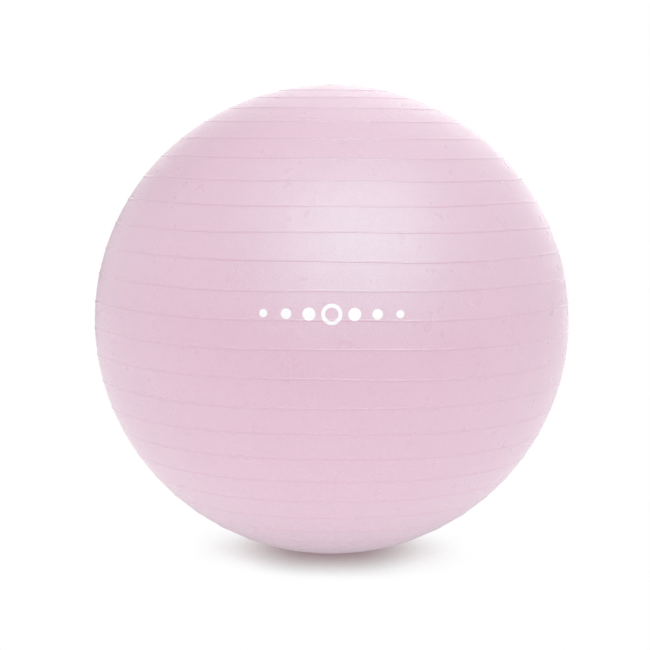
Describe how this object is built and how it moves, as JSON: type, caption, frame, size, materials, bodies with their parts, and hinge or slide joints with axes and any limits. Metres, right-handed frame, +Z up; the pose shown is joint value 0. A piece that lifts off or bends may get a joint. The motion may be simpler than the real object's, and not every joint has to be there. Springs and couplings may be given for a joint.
{
  "type": "exercise ball",
  "caption": "Inflated exercise ball with raised latitude ribs, a push-in valve plug at the crown and a plain printed mark on the front.",
  "frame": {"origin": "centre of the flat patch that the ball stands on", "axes": "+Z up through the valve, the ball's axis of revolution; -Y is the front, where the printed mark is; +X to the right as seen from the front"},
  "size_m": [0.6511, 0.6512, 0.641],
  "materials": {
    "shell_pvc": "satin",
    "valve_pvc": "matte",
    "plug_plastic": "gloss",
    "print_ink": "satin"
  },
  "bodies": {
    "ball": {"ball_shell": "shell_pvc", "valve_seat": "valve_pvc", "front_print": "print_ink"},
    "plug": {"valve_plug": "plug_plastic"}
  },
  "joints": [
    {"name": "plug_pull", "type": "slide", "parent": "ball", "child": "plug", "axis": [0, 0, 1], "range_m": [0, 0.028]}
  ]
}
